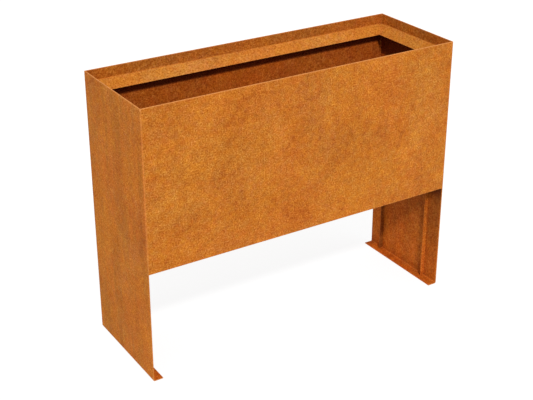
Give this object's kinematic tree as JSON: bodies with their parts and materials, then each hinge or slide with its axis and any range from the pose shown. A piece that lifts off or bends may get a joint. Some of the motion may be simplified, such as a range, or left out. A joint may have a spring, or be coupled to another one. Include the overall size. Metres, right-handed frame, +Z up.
{
  "type": "planter box",
  "caption": "Tall rectangular weathering-steel planter trough with a sloping inner rim lip, standing on two full-depth panel legs with inward folded feet.",
  "frame": {"origin": "on the ground, under the middle of the box", "axes": "+X along the length, towards the right end; +Z up; the front faces -Y"},
  "size_m": [1.2, 0.4, 0.96],
  "materials": {
    "sheet_patina": null,
    "bar_patina": "weathering-steel flat bar with the same matt rust patina, slightly browner",
    "weld_metal": "weld bead rusted over, matt and a little darker than the sheet"
  },
  "bodies": {
    "root": {"front_panel": "sheet_patina", "rear_panel": "sheet_patina", "left_end_panel": "sheet_patina", "right_end_panel": "sheet_patina", "front_rim_lip": "sheet_patina", "rear_rim_lip": "sheet_patina", "left_rim_lip": "sheet_patina", "right_rim_lip": "sheet_patina", "floor_panel": "sheet_patina", "floor_stiffener_left": "bar_patina", "floor_stiffener_centre": "bar_patina", "floor_stiffener_right": "bar_patina", "left_leg_front_rib": "bar_patina", "left_leg_rear_rib": "bar_patina", "right_leg_front_rib": "bar_patina", "right_leg_rear_rib": "bar_patina", "corner_seam_welds": "weld_metal", "rim_corner_welds": "weld_metal", "floor_seam_welds": "weld_metal", "rim_lip_welds": "weld_metal", "floor_stiffener_welds": "weld_metal", "left_leg_rib_welds": "weld_metal", "right_leg_rib_welds": "weld_metal"}
  },
  "joints": []
}
